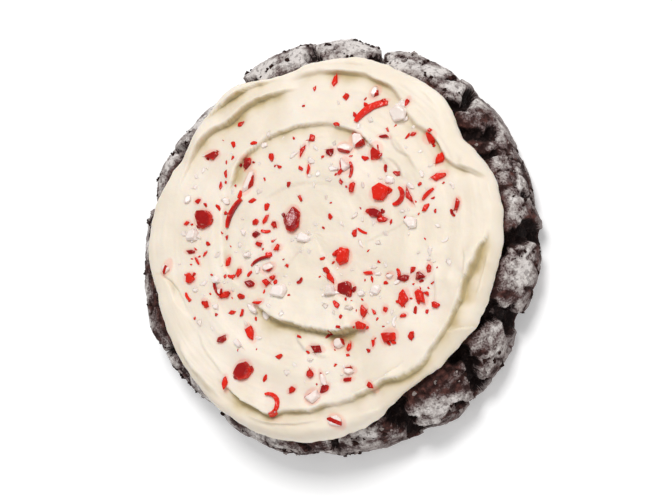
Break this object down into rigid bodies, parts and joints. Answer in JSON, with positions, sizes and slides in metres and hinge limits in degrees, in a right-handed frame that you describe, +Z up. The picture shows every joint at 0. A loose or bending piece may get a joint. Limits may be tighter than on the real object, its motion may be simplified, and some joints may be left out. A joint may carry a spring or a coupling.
{
  "type": "chocolate crinkle cookie",
  "caption": "Round chocolate crinkle cookie with sugar-dusted cracked edges, topped with swirled cream frosting and crushed peppermint candy.",
  "frame": {"origin": "centre of the outline on the flat underside", "axes": "+Z up through the cookie to the frosted side; +X and +Y are the right and the top of the picture"},
  "size_m": [0.0869, 0.0866, 0.0215],
  "materials": {
    "cookie": "dark chocolate crust, rough and matte, dusted with white powdered sugar on the plates and near black in the cracks",
    "frosting": "satin cream frosting with knife swirls, carrying glossy red and white candy bits"
  },
  "bodies": {
    "root": {"cookie": "cookie", "frosting": "frosting"}
  },
  "joints": []
}
